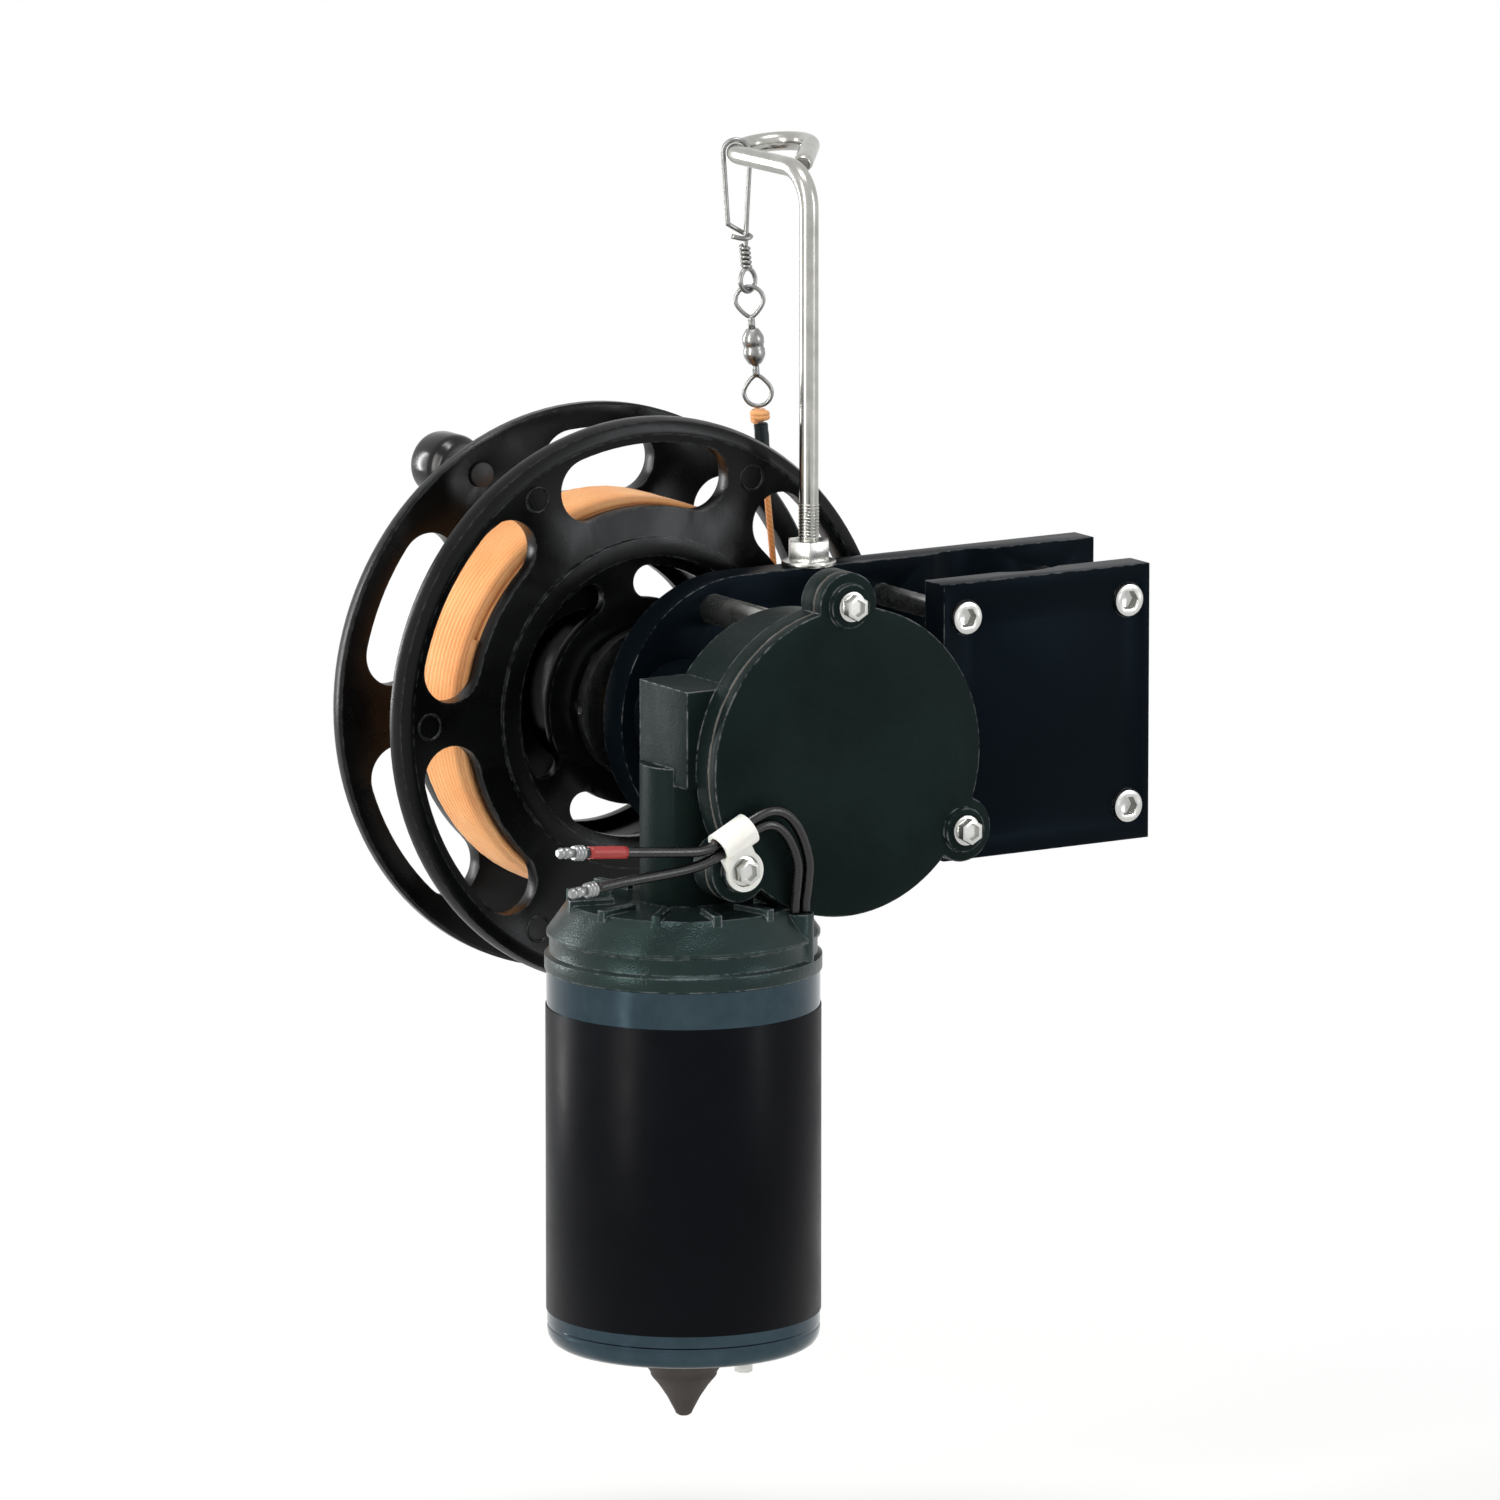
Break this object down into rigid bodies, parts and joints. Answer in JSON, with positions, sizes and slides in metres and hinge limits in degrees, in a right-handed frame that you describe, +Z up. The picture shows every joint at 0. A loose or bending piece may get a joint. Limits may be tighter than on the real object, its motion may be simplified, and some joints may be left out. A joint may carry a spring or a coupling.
{
  "type": "electric planer board reel",
  "caption": "Motor driven planer board reel with a worm gearbox, line spool, line guide rod and a split clamp for a round mast.",
  "frame": {"origin": "on the mast's axis at the middle of the clamp's height", "axes": "+Z up along the mast, +Y from the clamp toward the reel, +X from the reel's shaft toward the mast"},
  "size_m": [0.303, 0.2365, 0.437],
  "materials": {
    "anodised_black": "satin black anodised plate",
    "cast_black": "textured satin black casting",
    "zinc_steel": "bright zinc plated steel",
    "rod_steel": "stainless rod",
    "tackle_steel": "polished tackle wire",
    "reel_plastic": "moulded black plastic with a slight sheen",
    "brass": "bearing brass",
    "line_orange": "wound orange line",
    "sleeve_dark": "dark shrink sleeve",
    "knob_black": "black knob",
    "shaft_steel": "ground steel",
    "gear_bronze": "worm wheel bronze",
    "friction": "friction lining",
    "gasket": "gasket fibre",
    "can_steel": "bright plated motor can",
    "wrap_black": "gloss black wrap left bare",
    "magnet": "ferrite",
    "copper": "copper and laminations",
    "board_brown": "brush board",
    "rubber_black": "dark rubber",
    "nylon_white": "white nylon clip",
    "lead_black": "lead insulation",
    "terminal": "bullet terminal"
  },
  "bodies": {
    "frame": {"mounting_plate": "anodised_black", "clamp_plate": "anodised_black", "clamp_bolts": "zinc_steel", "guide_rod": "rod_steel", "guide_nut": "zinc_steel", "guide_washer": "zinc_steel", "free_line": "line_orange", "gear_housing": "cast_black", "gear_cover": "cast_black", "cover_gasket": "gasket", "cover_screws": "zinc_steel", "housing_bush": "brass", "bearing_sleeve": "anodised_black", "plate_bush": "brass", "spacer_posts": "zinc_steel", "mounting_screws": "zinc_steel", "motor_bell": "cast_black", "bell_screws": "zinc_steel", "motor_can": "can_steel", "motor_wrap": "wrap_black", "field_magnets": "magnet", "brush_plate": "board_brown", "brushes": "magnet", "tail_bush": "brass", "tail_cone": "rubber_black", "cable_clip": "nylon_white", "lead_positive": "lead_black", "lead_negative": "lead_black", "positive_terminal": "terminal", "negative_terminal": "terminal"},
    "shaft": {"output_shaft": "shaft_steel", "wheel_key": "shaft_steel", "wheel_hub": "shaft_steel", "worm_wheel": "gear_bronze", "drive_plate": "shaft_steel", "drive_pin": "shaft_steel", "front_friction_disc": "friction", "rear_friction_disc": "friction", "pressure_plate": "shaft_steel", "clutch_spring": "shaft_steel"},
    "armature": {"armature_shaft": "shaft_steel", "worm": "shaft_steel", "armature_core": "copper", "commutator": "copper"},
    "reel": {"reel_front_half": "reel_plastic", "reel_rear_half": "reel_plastic", "reel_bushing": "brass", "reel_screws": "zinc_steel", "reel_nuts": "zinc_steel", "line_core": "line_orange", "line_winding": "line_orange", "crank_bolt": "zinc_steel"},
    "clutch_knob": {"clutch_knob": "knob_black"},
    "crank_knob": {"crank_knob": "knob_black"},
    "snap": {"snap_hook": "tackle_steel", "swivel_upper_eye": "tackle_steel"},
    "swivel": {"swivel_barrel": "tackle_steel", "swivel_lower_eye": "tackle_steel", "line_knot": "line_orange", "leader_sleeve": "sleeve_dark"}
  },
  "joints": [
    {"name": "shaft_spin", "type": "hinge", "parent": "frame", "child": "shaft", "pos_m": [-0.121, 0, 0.0025], "axis": [0, 1, 0], "continuous": true},
    {"name": "armature_spin", "type": "hinge", "parent": "frame", "child": "armature", "pos_m": [-0.1695, -0.058, 0], "axis": [0, 0, 1], "continuous": true},
    {"name": "reel_slip", "type": "hinge", "parent": "shaft", "child": "reel", "pos_m": [-0.121, 0, 0.0025], "axis": [0, 1, 0], "continuous": true},
    {"name": "clutch_turn", "type": "hinge", "parent": "shaft", "child": "clutch_knob", "pos_m": [-0.121, 0, 0.0025], "axis": [0, 1, 0], "range_deg": [-180, 180]},
    {"name": "crank_knob_spin", "type": "hinge", "parent": "reel", "child": "crank_knob", "pos_m": [-0.16561, 0.095, 0.08467], "axis": [0, 1, 0], "continuous": true},
    {"name": "snap_swing", "type": "hinge", "parent": "frame", "child": "snap", "pos_m": [-0.06035, 0.0815, 0.19523], "axis": [-0.5299, -0.848, 0], "range_deg": [-3, 3]},
    {"name": "swivel_spin", "type": "hinge", "parent": "snap", "child": "swivel", "pos_m": [-0.05474, 0.07833, 0.12352], "axis": [0.0779, -0.044, -0.996], "continuous": true}
  ],
  "couplings": [
    {"joint": "armature_spin", "follows": "shaft_spin", "ratio": -56}
  ]
}
